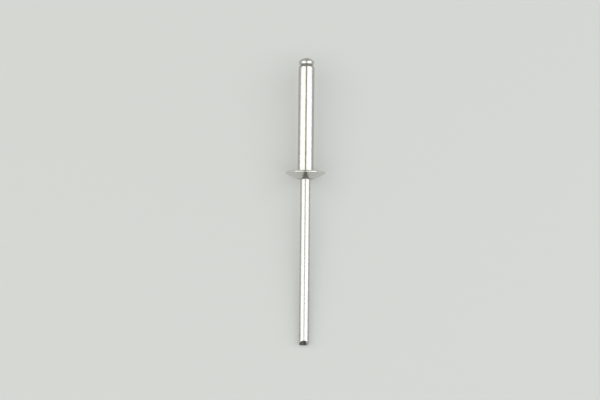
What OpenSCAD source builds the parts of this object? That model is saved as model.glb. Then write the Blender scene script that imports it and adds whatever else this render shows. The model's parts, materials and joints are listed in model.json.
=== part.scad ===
// Open-end blind rivet with a domed flange, as it comes from the box: a hollow aluminium
// body with its headed steel mandrel pushed through it. All sizes are in millimetres.
//
// Each piece is drawn upright about the Z axis, with Z = 0 at the underside of the flange,
// the blind end up and the stem down. lie_down() then lays it as it comes to rest: on the
// rim of the flange and the end of the stem, on a surface at Z = 0, with the blind end
// raised and pointing along +Y. The origin is at the bottom centre of the bounding box.

/* [Hollow body] */
// Outside diameter of the hollow body
body_d = 3.2; // [2.9:0.05:4.2]
// Length of the body from the underside of the flange to the blind end
body_len = 21.4; // [8:0.1:26]
// Rounding of the outer edge at the blind end
body_end_round = 0.28; // [0.1:0.02:0.4]
// Fillet in the corner between the body and the flange
body_fillet = 0.15; // [0.05:0.01:0.3]

/* [Domed flange] */
// Diameter of the flange over its rim
flange_d = 8.0; // [6:0.1:10]
// Height of the dome, from the underside of the flange to its nose
flange_h = 1.5; // [0.9:0.05:2]
// Thickness of the full-round rim
rim_t = 0.42; // [0.2:0.02:0.6]
// Radius of the dome's curve
dome_r = 15; // [6:0.5:30]
// Diameter of the flat nose that the setting tool bears on
nose_d = 2.9; // [2.5:0.05:3.4]
// Chamfer round the bore's mouth in the nose
nose_chamfer = 0.1; // [0.04:0.02:0.2]

/* [Mandrel stem] */
// Diameter of the wire
stem_d = 2.0; // [1.7:0.05:2.2]
// Length of wire that stands out of the flange's nose, with its point
stem_len = 33.2; // [25:0.1:45]
// Clearance all round between the wire and the bore of the body
bore_clearance = 0.03; // [0.02:0.01:0.08]

/* [Mandrel head] */
// Diameter of the head, under that of the body so that it passes the drilled hole
head_d = 3.0; // [2.7:0.05:3.2]
// Outside diameter of the flat ring under the head that seats on the blind end
head_seat_d = 2.25; // [2.25:0.05:2.7]
// Height of the flank that widens from the seat to the full head
head_flank_h = 0.42; // [0.1:0.02:0.5]
// Height of the straight belt of the head
head_belt_h = 0.45; // [0.3:0.05:1.2]
// Rounding between the belt and the crown
head_round = 0.25; // [0.2:0.05:1]
// Radius of the ball that the low crown is part of
crown_r = 2; // [1.8:0.1:8]

/* [Break neck] */
// Distance from the head's seat down to the middle of the neck
neck_below_seat = 2.4; // [1.5:0.1:4]
// Thickness of wire left at the neck, across its flats
neck_across = 1.4; // [1.1:0.05:1.5]
// Length of the neck along the wire
neck_len = 1.0; // [0.6:0.1:1.6]
// Number of pinches round the neck
neck_pinches = 4; // [3:1:4]

/* [Nail point] */
// Length of the two broad facets, which is the length of the point
point_len = 0.95; // [0.8:0.05:2]
// Length of the two narrow facets
point_side_len = 0.45; // [0.3:0.05:0.7]
// Thickness of the blunt end, between the broad facets
point_end_t = 0.3; // [0.1:0.02:0.6]
// Width of the blunt end, between the narrow facets
point_end_w = 1.64; // [0.8:0.02:1.7]

/* [Hidden] */
$fn = 96;

// Overshoot of the cutting shapes
cut = 0.5;

body_r = body_d / 2;
flange_r = flange_d / 2;
nose_r = nose_d / 2;
rim_r = rim_t / 2;
stem_r = stem_d / 2;
bore_r = stem_r + bore_clearance;
head_r = head_d / 2;

// Heights along the rivet's axis, from the underside of the flange
nose_z = -flange_h;
tip_z = nose_z - stem_len;
seat_z = body_len;
belt_z = seat_z + head_flank_h;
shoulder_z = belt_z + head_belt_h;
neck_z = seat_z - neck_below_seat;

// Middle of the rim's round edge, in the radius and height plane
rim_mid = [flange_r - rim_r, -rim_r];

// Middle of the dome's curve: it runs through the edge of the nose and into the rim's
// round edge without a corner
nose_edge = [nose_r, nose_z];
nose_to_rim = norm(rim_mid - nose_edge);
along = (rim_mid - nose_edge) / nose_to_rim;
across = [-along[1], along[0]];
foot = (dome_r ^ 2 - (dome_r - rim_r) ^ 2 + nose_to_rim ^ 2) / (2 * nose_to_rim);
dome_mid = nose_edge + foot * along + sqrt(dome_r ^ 2 - foot ^ 2) * across;
rim_out = (rim_mid - dome_mid) / norm(rim_mid - dome_mid);

// Middle of the head's rounded shoulder, and of the ball that its crown runs into
// without a corner
shoulder_mid = [head_r - head_round, shoulder_z];
crown_mid = [0, shoulder_z - sqrt((crown_r - head_round) ^ 2 - shoulder_mid[0] ^ 2)];
crown_out = (shoulder_mid - crown_mid) / norm(shoulder_mid - crown_mid);
head_top_z = crown_mid[1] + crown_r;

// At rest the rim and the start of the point's lower facet touch the surface
rest_run = -(tip_z + point_len) - rim_r;
rest_drop = flange_r - rim_r - stem_r;
rest_tilt = atan(rest_drop / rest_run) + asin(rim_r / norm([rest_run, rest_drop]));
rest_z = rim_r * (1 + sin(rest_tilt)) + (flange_r - rim_r) * cos(rest_tilt);

// Furthest reach of the lying rivet each way along Y, from the middle of the flange
reach_head = crown_mid[1] * cos(rest_tilt) + crown_r;
reach_tip = tip_z * cos(rest_tilt) - point_end_t / 2 * sin(rest_tilt);
rest_y = -(reach_head + reach_tip) / 2;

// Lays an upright piece on the surface as the whole rivet comes to rest
module lie_down() {
    translate([0, rest_y, rest_z])
        rotate([rest_tilt - 90, 0, 0])
            children();
}

// Half section of the domed flange, solid to the axis
module flange_section() {
    // round edge of the rim
    translate(rim_mid)
        circle(rim_r);
    // dome, cut from the disc that its curve belongs to
    intersection() {
        translate(dome_mid)
            circle(dome_r, $fn = 720);
        polygon([
            [0, 0],
            [rim_mid[0], 0],
            rim_mid,
            rim_mid + flange_d * rim_out,
            [nose_r, nose_z - cut],
            nose_edge,
            [0, nose_z]
        ]);
    }
}

// Half section of the body and its flange, solid to the axis
module body_section() {
    flange_section();
    // hollow body, with its outer edge rounded at the blind end
    difference() {
        square([body_r, body_len]);
        translate([body_r - body_end_round, body_len - body_end_round])
            difference() {
                square(body_end_round + cut);
                circle(body_end_round);
            }
    }
    // fillet in the corner under the flange
    translate([body_r, 0])
        difference() {
            square(body_fillet);
            translate([body_fillet, body_fillet])
                circle(body_fillet);
        }
}

// Hollow body and domed flange, headed in one piece
module rivet_body() {
    color("gainsboro")
    lie_down()
    rotate_extrude()
    difference() {
        body_section();
        // bore for the wire
        translate([0, nose_z - cut])
            square([bore_r, flange_h + body_len + 2 * cut]);
        // chamfer round the bore's mouth
        polygon([
            [0, nose_z + nose_chamfer + bore_r],
            [bore_r + nose_chamfer + cut, nose_z - cut],
            [0, nose_z - cut]
        ]);
    }
}

// Half section of the head: seat, flank, belt, rounded shoulder and low crown
module head_section() {
    // seat, flank and belt
    polygon([
        [0, seat_z],
        [head_seat_d / 2, seat_z],
        [head_r, belt_z],
        [head_r, shoulder_z],
        [0, shoulder_z]
    ]);
    // shoulder
    intersection() {
        translate(shoulder_mid)
            circle(head_round);
        translate([0, shoulder_z])
            square([head_r, head_round]);
    }
    // crown, cut from the disc that its curve belongs to
    intersection() {
        translate(crown_mid)
            circle(crown_r, $fn = 360);
        polygon([
            [0, shoulder_z],
            shoulder_mid,
            shoulder_mid + head_d * crown_out,
            [0, shoulder_mid[1] + head_d * crown_out[1]]
        ]);
    }
}

// Pinches that thin the wire where it is meant to break
module neck_pinches() {
    deep = stem_r + cut - neck_across / 2;
    half_len = neck_len / 2 * deep / (stem_r - neck_across / 2);
    for (i = [0 : neck_pinches - 1])
        rotate(i * 360 / neck_pinches)
            translate([0, stem_r + cut, neck_z])
                rotate([90, 0, 90])
                    linear_extrude(stem_d + 2 * cut, center = true)
                        polygon([[0, half_len], [-deep, 0], [0, -half_len]]);
}

// Wedges that cut two opposite facets of the point, which face along X
module facet_pair(end_gap, facet_len) {
    slope = (stem_r - end_gap / 2) / facet_len;
    for (side = [0, 180])
        rotate(side)
            rotate([90, 0, 0])
                linear_extrude(stem_d + 2 * cut, center = true)
                    polygon([
                        [end_gap / 2 - slope * cut, -cut],
                        [stem_r + slope * cut, facet_len + cut],
                        [stem_r + slope * cut, -cut]
                    ]);
}

// Facets of the nail point: two broad ones above and below, two narrow ones beside them
module point_facets() {
    translate([0, 0, tip_z]) {
        rotate(90)
            facet_pair(point_end_t, point_len);
        facet_pair(point_end_w, point_side_len);
    }
}

// Headed wire with its break neck and its nail point
module mandrel() {
    color("silver")
    lie_down() {
        // wire, which runs up into the head it is forged from
        difference() {
            translate([0, 0, tip_z])
                cylinder(r = stem_r, h = belt_z - tip_z);
            neck_pinches();
            point_facets();
        }
        rotate_extrude()
            head_section();
    }
}

rivet_body();
mandrel();
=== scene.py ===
import json
import math

import bmesh
import bpy
from mathutils import Euler, Matrix, Vector


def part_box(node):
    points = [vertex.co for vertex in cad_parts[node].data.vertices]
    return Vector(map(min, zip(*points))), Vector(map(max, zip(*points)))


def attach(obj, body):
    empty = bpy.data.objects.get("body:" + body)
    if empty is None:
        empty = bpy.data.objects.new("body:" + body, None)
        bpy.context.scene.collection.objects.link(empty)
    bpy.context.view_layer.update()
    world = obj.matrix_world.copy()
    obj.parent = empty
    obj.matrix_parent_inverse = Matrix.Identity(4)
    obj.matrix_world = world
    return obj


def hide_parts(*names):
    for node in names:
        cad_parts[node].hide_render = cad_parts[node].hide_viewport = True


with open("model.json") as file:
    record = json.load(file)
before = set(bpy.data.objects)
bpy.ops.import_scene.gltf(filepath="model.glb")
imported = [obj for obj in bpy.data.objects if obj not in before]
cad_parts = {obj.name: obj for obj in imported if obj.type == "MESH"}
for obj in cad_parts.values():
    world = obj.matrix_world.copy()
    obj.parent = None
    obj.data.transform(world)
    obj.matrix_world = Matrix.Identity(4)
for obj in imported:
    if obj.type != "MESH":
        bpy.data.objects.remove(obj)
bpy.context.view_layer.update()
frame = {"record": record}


# ---------------------------------------------------------------- rivet body
# The real piece is a tube with a domed flange, headed cold from soft aluminium wire in
# one blow after another and pierced right through. It is tumbled bright and left bare.

MM = 0.001
mounts = {mount["name"]: mount for mount in frame["record"]["mounts"]}

# The middle of the flange's seat, and the way the rivet points as it lies
seat = Vector((0, *mounts["flange_seat"]["pos_m"][1:]))
axis = Vector(mounts["flange_seat"]["axis"])
lean = math.atan2(axis.z, axis.y) - math.pi / 2

body_low, body_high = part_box("rivet_body")
wire_diameter = 2 * mounts["stem_grip"]["dims"]["r_mm"]
bore_clearance = 0.03
body_sizes = {
    "Body diameter": 2 * mounts["body_shank"]["dims"]["r_mm"],
    "Body length": 21.4,
    "End rounding": 0.28,
    "Bore diameter": wire_diameter + 2 * bore_clearance,
    "Flange diameter": (body_high.x - body_low.x) / MM,
    "Dome height": 1.5,
    "Dome curve": 15.0,
    "Rim thickness": 0.42,
    "Nose diameter": 2.9,
    "Mouth chamfer": 0.1,
    "Corner fillet": 0.15,
    "Waviness": 0.008,
}


class Socket:
    """An output of a node, which sums can be written with: each one adds its Math node."""

    def __init__(self, tree, output=None):
        self.tree = tree
        self.output = output

    def node(self, kind, settings=(), sockets=(), output=0):
        """Adds any node to the tree: its settings first, then its sockets' values or links.
        The setting "items" is how many inputs an Index Switch has."""
        node = self.tree.nodes.new(kind)
        for name, value in dict(settings).items():
            if name == "items":
                for _ in range(value - len(node.index_switch_items)):
                    node.index_switch_items.new()
            else:
                setattr(node, name, value)
        for name, value in dict(sockets).items():
            if isinstance(name, int):
                socket = node.inputs[name]
            else:
                socket = next(s for s in node.inputs if s.name == name and s.enabled)
            if isinstance(value, Socket):
                self.tree.links.new(value.output, socket)
            else:
                socket.default_value = value
        outputs = [s for s in node.outputs if s.enabled]
        named = next((s for s in outputs if s.name == output), None)
        return Socket(self.tree, named or (outputs[0] if outputs else None))

    def math(self, operation, *terms):
        return self.node("ShaderNodeMath", {"operation": operation}, enumerate(terms))

    def __add__(self, other):
        return self.math("ADD", self, other)

    def __sub__(self, other):
        return self.math("SUBTRACT", self, other)

    def __rsub__(self, other):
        return self.math("SUBTRACT", other, self)

    def __mul__(self, other):
        return self.math("MULTIPLY", self, other)

    def __truediv__(self, other):
        return self.math("DIVIDE", self, other)

    def __neg__(self):
        return self.math("MULTIPLY", self, -1)

    __radd__ = __add__
    __rmul__ = __mul__


def shape_tree(name, sizes):
    """A new geometry tree with one named input for each size. Gives its start and inputs."""
    tree = bpy.data.node_groups.new(name, "GeometryNodeTree")
    tree.interface.new_socket("Geometry", in_out="OUTPUT", socket_type="NodeSocketGeometry")
    for label, value in sizes.items():
        socket = tree.interface.new_socket(label, in_out="INPUT", socket_type="NodeSocketFloat")
        socket.default_value = value
    inputs = tree.nodes.new("NodeGroupInput")
    start = Socket(tree)
    return start, {label: Socket(tree, inputs.outputs[label]) for label in sizes}


def turned(start, corners, facets, closed):
    """Turns an outline round the Z axis. Each corner has its radius, its height, how far
    it is rounded, and the longest step between rings on the way to the next corner."""
    path_radius = 10.0
    points_in_rounding = 10
    index = start.node("GeometryNodeInputIndex")

    def by_corner(kind, values):
        sockets = {str(i): value for i, value in enumerate(values)}
        settings = {"data_type": kind, "items": len(values)}
        return start.node("GeometryNodeIndexSwitch", settings, {"Index": index, **sockets})

    places = []
    for radius, height, _, _ in corners:
        across = radius - path_radius
        down = -height
        places.append(start.node("ShaderNodeCombineXYZ", {}, {"X": across, "Y": down}))
    points = start.node("GeometryNodePoints", {}, {
        "Count": len(corners),
        "Position": by_corner("VECTOR", places),
    })
    line = start.node("GeometryNodePointsToCurves", {}, {"Points": points})
    for label, column in (("rounding", 2), ("step", 3)):
        line = start.node("GeometryNodeStoreNamedAttribute", {"data_type": "FLOAT"}, {
            "Geometry": line,
            "Name": label,
            "Value": by_corner("FLOAT", [corner[column] for corner in corners]),
        })
    line = start.node("GeometryNodeSetSplineCyclic", {}, {"Geometry": line, "Cyclic": closed})
    rounding = start.node("GeometryNodeInputNamedAttribute", {}, {"Name": "rounding"})
    line = start.node("GeometryNodeFilletCurve", {"mode": "POLY"}, {
        "Curve": line,
        "Count": points_in_rounding,
        "Radius": rounding,
        "Limit Radius": True,
    })

    # rings along each straight, no further apart than its step
    place = start.node("GeometryNodeInputPosition")
    following = start.node("GeometryNodeOffsetPointInCurve", {}, {"Offset": 1}, "Point Index")
    next_place = start.node("GeometryNodeFieldAtIndex", {"data_type": "FLOAT_VECTOR"}, {
        "Value": place,
        "Index": following,
    })
    straight = start.node("ShaderNodeVectorMath", {"operation": "DISTANCE"}, {
        0: place,
        1: next_place,
    }, "Value")
    step = start.node("GeometryNodeInputNamedAttribute", {}, {"Name": "step"})
    rings = start.math("CEIL", straight / step) - 1
    line = start.node("GeometryNodeSubdivideCurve", {}, {"Curve": line, "Cuts": rings})

    path = start.node("GeometryNodeCurvePrimitiveCircle", {}, {
        "Resolution": facets,
        "Radius": path_radius,
    })
    return start.node("GeometryNodeCurveToMesh", {}, {"Curve": path, "Profile Curve": line})


def laid_down(start, shape, finish):
    """Ends a tree: welds the shape, brings it to size and lays it as the rivet rests."""
    weld = 0.001
    shape = start.node("GeometryNodeMergeByDistance", {}, {"Geometry": shape, "Distance": weld})
    shape = start.node("GeometryNodeSetShadeSmooth", {}, {"Geometry": shape})
    shape = start.node("GeometryNodeTransform", {}, {
        "Geometry": shape,
        "Translation": seat,
        "Rotation": (lean, 0, 0),
        "Scale": (MM, MM, MM),
    })
    shape = start.node("GeometryNodeRealizeInstances", {}, {"Geometry": shape})
    shape = start.node("GeometryNodeSetMaterial", {}, {"Geometry": shape, "Material": finish})
    start.node("NodeGroupOutput", {}, {"Geometry": shape})


def made(name, start, sizes, node):
    """Makes a piece from its tree as a plain mesh, which stands for its node of the frame."""
    piece = bpy.data.objects.new(name, bpy.data.meshes.new(name))
    bpy.context.scene.collection.objects.link(piece)
    modifier = piece.modifiers.new("shape", "NODES")
    modifier.node_group = start.tree
    for socket in start.tree.interface.items_tree:
        if socket.in_out == "INPUT":
            modifier[socket.identifier] = float(sizes[socket.name])
    evaluated = piece.evaluated_get(bpy.context.evaluated_depsgraph_get())
    mesh = bpy.data.meshes.new_from_object(evaluated)
    piece.modifiers.remove(modifier)
    piece.data = mesh
    mesh.name = name

    # the axis' seams and poles are closed, and every face points outwards
    weld = 0.0005 * MM
    work = bmesh.new()
    work.from_mesh(mesh)
    bmesh.ops.remove_doubles(work, verts=work.verts, dist=weld)
    bmesh.ops.recalc_face_normals(work, faces=work.faces)
    work.to_mesh(mesh)
    work.free()

    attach(piece, "root")
    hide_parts(node)
    return piece


def finish_start(name):
    """A new material. Gives its start, and the place on the rivet in millimetres: X across,
    Y down, and Z along it from the flange's seat."""
    material = bpy.data.materials.new(name)
    material.use_nodes = True
    material.node_tree.nodes.clear()
    start = Socket(material.node_tree)
    here = start.node("ShaderNodeTexCoord", {}, {}, "Object")
    place = start.node("ShaderNodeMapping", {"vector_type": "TEXTURE"}, {
        "Vector": here,
        "Location": seat,
        "Rotation": (lean, 0, 0),
        "Scale": (MM, MM, MM),
    })
    return material, start, place


def stretched(start, place, scale):
    """The place, scaled along each of the rivet's own directions."""
    return start.node("ShaderNodeVectorMath", {"operation": "MULTIPLY"}, {0: place, 1: scale})


def noise(start, place, scale, detail=3.0, roughness=0.55):
    return start.node("ShaderNodeTexNoise", {}, {
        "Vector": place,
        "Scale": scale,
        "Detail": detail,
        "Roughness": roughness,
    })


def ramp(start, value, low, high):
    """From 0 at low to 1 at high, eased at both ends."""
    return start.node("ShaderNodeMapRange", {"interpolation_type": "SMOOTHSTEP"}, {
        "Value": value,
        "From Min": low,
        "From Max": high,
    })


def mixed(start, amount, one, other):
    return start.node("ShaderNodeMix", {"data_type": "RGBA"}, {
        "Factor": amount,
        "A": (*one, 1),
        "B": (*other, 1),
    })


def metal(start, colour, roughness, height, depth):
    """Ends a material as bare metal, with its relief that many millimetres deep."""
    bump = start.node("ShaderNodeBump", {}, {
        "Strength": 1.0,
        "Distance": depth * MM,
        "Height": height,
    })
    shader = start.node("ShaderNodeBsdfPrincipled", {}, {
        "Base Color": colour,
        "Metallic": 1.0,
        "Roughness": roughness,
        "Normal": bump,
    })
    start.node("ShaderNodeOutputMaterial", {}, {"Surface": shader})


aluminium, start, place = finish_start("tumbled_aluminium")
patches = noise(start, place, 0.9)
lines = noise(start, stretched(start, place, (1, 1, 0.03)), 9.0, 4.0)
grain = noise(start, place, 16.0, 2.0)
dents = noise(start, place, 3.2, 2.0)

# Scuffs are the thin lines along which a coarse noise passes its middle, here and there
scuff_field = noise(start, stretched(start, place, (1, 1, 0.35)), 2.2, 2.0)
scuff_lines = 1 - ramp(start, start.math("ABSOLUTE", scuff_field - 0.5), 0.0, 0.012)
scuffs = scuff_lines * ramp(start, patches, 0.45, 0.6)

# Drawing leaves the tube's wall a little greyer than the flange, which the die coins bright.
# A ring round the nose where the wire comes out is darkened as painted shade. The corner
# between the two is darkened as painted shade too, and is rougher, as tumbling doesn't reach
# it.
along = start.node("ShaderNodeSeparateXYZ", {}, {"Vector": place}, "Z")
wall = ramp(start, along, 0.1, 0.5)
# Painted shade round the nose, where the wire comes out of the flange
nose_shade = 1 - ramp(start, along, -1.5, -1.3)
# Painted shade in the corner under the flange, which also makes the corner rougher below
corner = ramp(start, along, 0.02, 0.06) * (1 - ramp(start, along, 0.26, 0.36))
# The wall's grey, the scuffs and patches, and the painted shade at the nose and in the corner
grey = 0.35 * scuffs + 0.2 * patches + 0.6 * wall + nose_shade + 0.7 * corner
coined_colour = (0.70, 0.695, 0.66)
drawn_and_shade_colour = (0.46, 0.455, 0.43)
fine_relief = 0.35 * grain - 0.3 * scuffs
metal(
    start,
    colour=mixed(start, grey, coined_colour, drawn_and_shade_colour),
    roughness=0.1 + 0.08 * patches + 0.06 * grain + 0.12 * scuffs + 0.45 * corner,
    height=fine_relief + wall * (0.5 * lines + 5.5 * dents) + 0.5 * dents,
    depth=0.004,
)

start, size = shape_tree("turned_body", body_sizes)
body_r = size["Body diameter"] / 2
bore_r = size["Bore diameter"] / 2
flange_r = size["Flange diameter"] / 2
nose_r = size["Nose diameter"] / 2
rim_r = size["Rim thickness"] / 2
dome_r = size["Dome curve"]
nose_z = -size["Dome height"]

# The dome leaves the nose at one slope and runs into the rim's round edge at another
rim_across = flange_r - rim_r - nose_r
rim_up = -rim_r - nose_z
reach = start.math("SQRT", rim_across * rim_across + rim_up * rim_up)
rise = start.math("ARCTANGENT", rim_up / rim_across)
inner_r = dome_r - rim_r
foot = (dome_r * dome_r - inner_r * inner_r + reach * reach) / (2 * reach)
slope_at_nose = rise + start.math("ARCCOSINE", foot / dome_r) - math.pi / 2
slope_at_rim = rise - start.math("ARCCOSINE", (reach - foot) / inner_r) + math.pi / 2
half_dome = dome_r * start.math("TANGENT", (slope_at_rim - slope_at_nose) / 2)
dome_corner_r = nose_r + half_dome * start.math("COSINE", slope_at_nose)
dome_corner_z = nose_z + half_dome * start.math("SINE", slope_at_nose)
rim_corner_z = dome_corner_z + (flange_r - dome_corner_r) * start.math("TANGENT", slope_at_rim)

# The dome's rounding is a little under its full curve, which leaves room for those beside it
dome_rounding = 0.85 * dome_r
mouth_rounding = 0.03
nose_rounding = 0.14
bore_end_rounding = 0.05
shape = turned(start, [
    (bore_r + size["Mouth chamfer"], nose_z, mouth_rounding, 0.1),
    (nose_r, nose_z, nose_rounding, 0.2),
    (dome_corner_r, dome_corner_z, dome_rounding, 0.2),
    (flange_r, rim_corner_z, rim_r, 0.2),
    (flange_r, 0.0, rim_r, 0.2),
    (body_r, 0.0, size["Corner fillet"], 0.3),
    (body_r, size["Body length"], size["End rounding"], 0.15),
    (bore_r, size["Body length"], bore_end_rounding, 1.0),
    (bore_r, nose_z + size["Mouth chamfer"], mouth_rounding, 0.1),
], facets=160, closed=True)

# Slight unevenness left by the heading dies and by tumbling
uneven = start.node("ShaderNodeTexNoise", {"noise_dimensions": "4D"}, {
    "Vector": start.node("GeometryNodeInputPosition"),
    "W": 3.0,
    "Scale": 0.55,
    "Detail": 2.0,
})
push = start.node("ShaderNodeVectorMath", {"operation": "SCALE"}, {
    "Vector": start.node("GeometryNodeInputNormal"),
    "Scale": (uneven - 0.5) * size["Waviness"],
})
shape = start.node("GeometryNodeSetPosition", {}, {"Geometry": shape, "Offset": push})
laid_down(start, shape, aluminium)
rivet_body = made("domed_body", start, body_sizes, "rivet_body")


# ------------------------------------------------------------------- mandrel
# The real piece is hard drawn steel wire, bright zinc plated. One end is upset into the
# head that pulls into the tube, and a crimp below it is where the wire snaps off.

wire_standing_out = 33.2
mandrel_sizes = {
    "Wire diameter": wire_diameter,
    "Tip": -body_sizes["Dome height"] - wire_standing_out,
    "Head seat": body_sizes["Body length"],
    "Head diameter": 3.0,
    "Seat diameter": 2.25,
    "Flank height": 0.42,
    "Belt height": 0.45,
    "Shoulder rounding": 0.25,
    "Crown ball radius": 2.0,
    "Neck below seat": 2.4,
    "Neck thickness": 1.4,
    "Neck length": 1.0,
    "Point length": 0.95,
    "Point side length": 0.45,
    "Point end thickness": 0.3,
    "Point end width": 1.64,
    "Waviness": 0.006,
}

zinc, start, place = finish_start("zinc_plated_wire")
patches = noise(start, place, 1.1)
lines = noise(start, stretched(start, place, (1, 1, 0.02)), 12.0, 4.0)
speckle = noise(start, place, 9.0, 3.0, 0.65)

# The cut end is bare, darker steel, with a dull, pale burr at one side of it. In a ragged band
# from about its middle towards the burr, the cut is darkened further as painted shade.
across = start.node("ShaderNodeSeparateXYZ", {}, {"Vector": place}, "X")
down = start.node("ShaderNodeSeparateXYZ", {}, {"Vector": place}, "Y")
from_axis = start.math("SQRT", across * across + down * down)
wire_r = wire_diameter / 2
ragged = across + 1.2 * (speckle - 0.5)
burr_side = ramp(start, ragged, 0.38, 0.48)
cut_end = 1 - ramp(start, from_axis, wire_r - 0.06, wire_r - 0.02)
burr = cut_end * burr_side
cut_face = cut_end * (1 - burr_side)
# The plating's patches, the bare cut end, and painted shade on the cut's band towards the burr
dark = 0.25 * patches + cut_face * (0.4 + 0.5 * ramp(start, ragged, -0.1, 0.2))
plated_colour = (0.57, 0.57, 0.545)
bare_and_shade_colour = (0.18, 0.175, 0.17)
metal(
    start,
    colour=mixed(start, dark, plated_colour, bare_and_shade_colour),
    roughness=0.18 + 0.1 * patches + 0.08 * speckle - 0.11 * cut_face + 0.5 * burr,
    height=0.6 * lines + 0.5 * speckle,
    depth=0.006,
)

start, size = shape_tree("headed_mandrel", mandrel_sizes)
wire_r = size["Wire diameter"] / 2
head_r = size["Head diameter"] / 2
tip = size["Tip"]
seat_z = size["Head seat"]
neck_z = seat_z - size["Neck below seat"]
belt_z = seat_z + size["Flank height"]
shoulder_z = belt_z + size["Belt height"]
shoulder_r = size["Shoulder rounding"]
crown_r = size["Crown ball radius"]

# The crown's ball meets the rounded shoulder at this slope, without a corner
slope_at_shoulder = start.math("ARCSINE", (head_r - shoulder_r) / (crown_r - shoulder_r))
ball_z = shoulder_z - (crown_r - shoulder_r) * start.math("COSINE", slope_at_shoulder)
top_z = ball_z + crown_r
crown_corner_r = crown_r * start.math("TANGENT", slope_at_shoulder / 2)
fall = (head_r - crown_corner_r) * start.math("TANGENT", slope_at_shoulder)

# The rings stand closer from a little before to a little past the point's and neck's flats
point_rings_end = tip + 1.3 * size["Point length"]
half_neck_rings = 0.8 * size["Neck length"]
# Both curves of the crown are a little under their full radius, so that they don't meet
shoulder_rounding = 0.97 * shoulder_r
crown_rounding = 0.97 * crown_r
tip_rounding = 0.03
seat_corner_rounding = 0.04
head_edge_rounding = 0.05
shape = turned(start, [
    (0.0, tip, 0.0, 1.0),
    (wire_r, tip, tip_rounding, 0.02),
    (wire_r, point_rings_end, 0.0, 0.25),
    (wire_r, neck_z - half_neck_rings, 0.0, 0.04),
    (wire_r, neck_z + half_neck_rings, 0.0, 0.3),
    (wire_r, seat_z, seat_corner_rounding, 0.2),
    (size["Seat diameter"] / 2, seat_z, head_edge_rounding, 0.1),
    (head_r, belt_z, head_edge_rounding, 0.1),
    (head_r, top_z - fall, shoulder_rounding, 0.1),
    (crown_corner_r, top_z, crown_rounding, 0.1),
    (0.0, top_z, 0.0, 1.0),
], facets=144, closed=False)

# The dies squeeze the wire: two pairs of flats at the neck and at the point hold each
# place's sideways reach to the gap that they leave there
here = start.node("GeometryNodeInputPosition")
across = start.node("ShaderNodeSeparateXYZ", {}, {"Vector": here}, "X")
down = start.node("ShaderNodeSeparateXYZ", {}, {"Vector": here}, "Y")
along = start.node("ShaderNodeSeparateXYZ", {}, {"Vector": here}, "Z")
ring = start.math("SQRT", across * across + down * down) / wire_r
neck_slope = (size["Wire diameter"] - size["Neck thickness"]) / size["Neck length"]
neck_gap = size["Neck thickness"] / 2 + neck_slope * start.math("ABSOLUTE", along - neck_z)


def squeezed(reach, end_gap, length):
    """The sideways reach, held within the neck's flats and the point's."""
    edge_softness = 0.04
    slope = (wire_r - end_gap / 2) / length
    point_gap = end_gap / 2 + slope * (along - tip)
    gap = start.math("MINIMUM", neck_gap, point_gap)
    held = start.math("SMOOTH_MIN", start.math("ABSOLUTE", reach / ring), gap, edge_softness)
    return held * ring * start.math("SIGN", reach)


held_place = start.node("ShaderNodeCombineXYZ", {}, {
    "X": squeezed(across, size["Point end width"], size["Point side length"]),
    "Y": squeezed(down, size["Point end thickness"], size["Point length"]),
    "Z": along,
})
shape = start.node("GeometryNodeSetPosition", {}, {"Geometry": shape, "Position": held_place})

# Slight unevenness left by drawing and by heading
uneven = start.node("ShaderNodeTexNoise", {"noise_dimensions": "4D"}, {
    "Vector": start.node("GeometryNodeInputPosition"),
    "W": 11.0,
    "Scale": 0.9,
    "Detail": 2.0,
})
push = start.node("ShaderNodeVectorMath", {"operation": "SCALE"}, {
    "Vector": start.node("GeometryNodeInputNormal"),
    "Scale": (uneven - 0.5) * size["Waviness"],
})
shape = start.node("GeometryNodeSetPosition", {}, {"Geometry": shape, "Offset": push})
laid_down(start, shape, zinc)
mandrel = made("headed_wire", start, mandrel_sizes, "mandrel")


# --------------------------------------------------------------------- floor
# A plain sheet of pale grey paper, much wider than the view, that the rivet lies on.
# The paper lets a little light through from below, which keeps the shadows soft.

paper = bpy.data.materials.new("pale_paper")
paper.use_nodes = True
paper.node_tree.nodes.clear()
start = Socket(paper.node_tree)
paper_colour = (0.571, 0.582, 0.568, 1)
light_from_below = 0.42
by_camera = start.node("ShaderNodeLightPath", {}, {}, "Is Camera Ray")
in_reflection = start.node("ShaderNodeLightPath", {}, {}, "Is Glossy Ray")
through_glass = start.node("ShaderNodeLightPath", {}, {}, "Is Transmission Ray")
sheet = start.node("ShaderNodeMixShader", {}, {
    0: light_from_below * (by_camera + in_reflection + through_glass),
    1: start.node("ShaderNodeBsdfDiffuse", {}, {"Color": paper_colour}),
    2: start.node("ShaderNodeEmission", {}, {"Color": paper_colour}),
})
start.node("ShaderNodeOutputMaterial", {}, {"Surface": sheet})

floor_mesh = bpy.data.meshes.new("floor")
half_floor = 1.5
floor_mesh.from_pydata(
    [(x * half_floor, y * half_floor, 0) for x, y in ((-1, -1), (1, -1), (1, 1), (-1, 1))],
    [],
    [(0, 1, 2, 3)],
)
floor_mesh.materials.append(paper)
floor = bpy.data.objects.new("floor", floor_mesh)
bpy.context.scene.collection.objects.link(floor)


# ---------------------------------------------------------- light and camera
# Large soft panels face each other across the rivet, with a dark gap between them overhead.
# Each side has a bright one at half height and a narrow one that carries it on down to the
# table, and another stands beyond the rivet's point. The room itself is dim.

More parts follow.
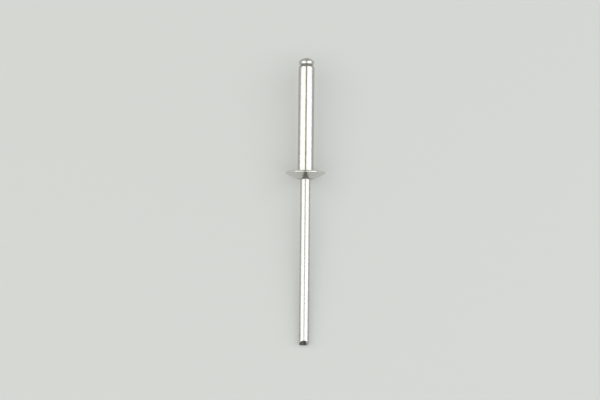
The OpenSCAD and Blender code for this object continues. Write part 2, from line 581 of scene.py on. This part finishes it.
def soft_panel(name, bearing, upper, lower, length, brightness, colour):
    """A soft panel half a metre away. Its bearing is from +X, and its upper and lower edges
    are that far from straight overhead, in degrees. Its length is measured sideways."""
    distance = 0.5
    width = 2 * distance * math.tan(math.radians((lower - upper) / 2))
    lamp = bpy.data.lights.new(name, "AREA")
    lamp.shape = "RECTANGLE"
    lamp.size = width
    lamp.size_y = length
    lamp.energy = brightness * math.pi * width * length
    lamp.color = colour
    panel = bpy.data.objects.new(name, lamp)
    steepness = math.radians((upper + lower) / 2)
    turn = Euler((0, steepness, math.radians(bearing))).to_matrix().to_4x4()
    panel.matrix_world = turn @ Matrix.Translation((0, 0, distance))
    bpy.context.scene.collection.objects.link(panel)


warm = (1.0, 0.983, 0.935)
cool = (0.972, 0.986, 0.99)
soft_panel("left_panel", 176, 9, 40, 0.5, 1.78, warm)
soft_panel("left_side_panel", 176, 40, 65, 0.5, 2.2, warm)
soft_panel("left_low_panel", 177, 65, 88, 0.17, 1.9, warm)
soft_panel("right_panel", 4, 9, 40, 0.5, 1.87, cool)
soft_panel("right_side_panel", 4, 40, 67.5, 0.5, 2.36, cool)
soft_panel("right_low_panel", 3, 67.5, 88, 0.17, 2.1, cool)
soft_panel("point_panel", -90, 12.4, 43.6, 0.9, 1.4, (1.0, 1.0, 0.98))

room_colour = (0.2, 0.2, 0.195, 1)
world = bpy.data.worlds.new("dim_room")
world.use_nodes = True
world.node_tree.nodes["Background"].inputs["Color"].default_value = room_colour
bpy.context.scene.world = world

camera_data = bpy.data.cameras.new("camera")
camera_data.sensor_width = 36
camera_data.lens = 129
camera_data.clip_start = 0.01
camera_data.clip_end = 10
camera = bpy.data.objects.new("camera", camera_data)
bpy.context.scene.collection.objects.link(camera)
aim = Vector((-1.05, 0.09, 4.0)) * MM
distance = 0.430
height = math.radians(79.7)
roll = math.radians(0.58)
back = Vector((0, -math.cos(height), math.sin(height)))
up = Vector((0, math.sin(height), math.cos(height)))
right = Vector((1, 0, 0))
turned_right = math.cos(roll) * right + math.sin(roll) * up
turned_up = math.cos(roll) * up - math.sin(roll) * right
camera.matrix_world = Matrix.Translation(aim + distance * back) @ Matrix(
    (turned_right, turned_up, back)
).transposed().to_4x4()
bpy.context.scene.camera = camera
bpy.context.scene.view_settings.view_transform = "Standard"
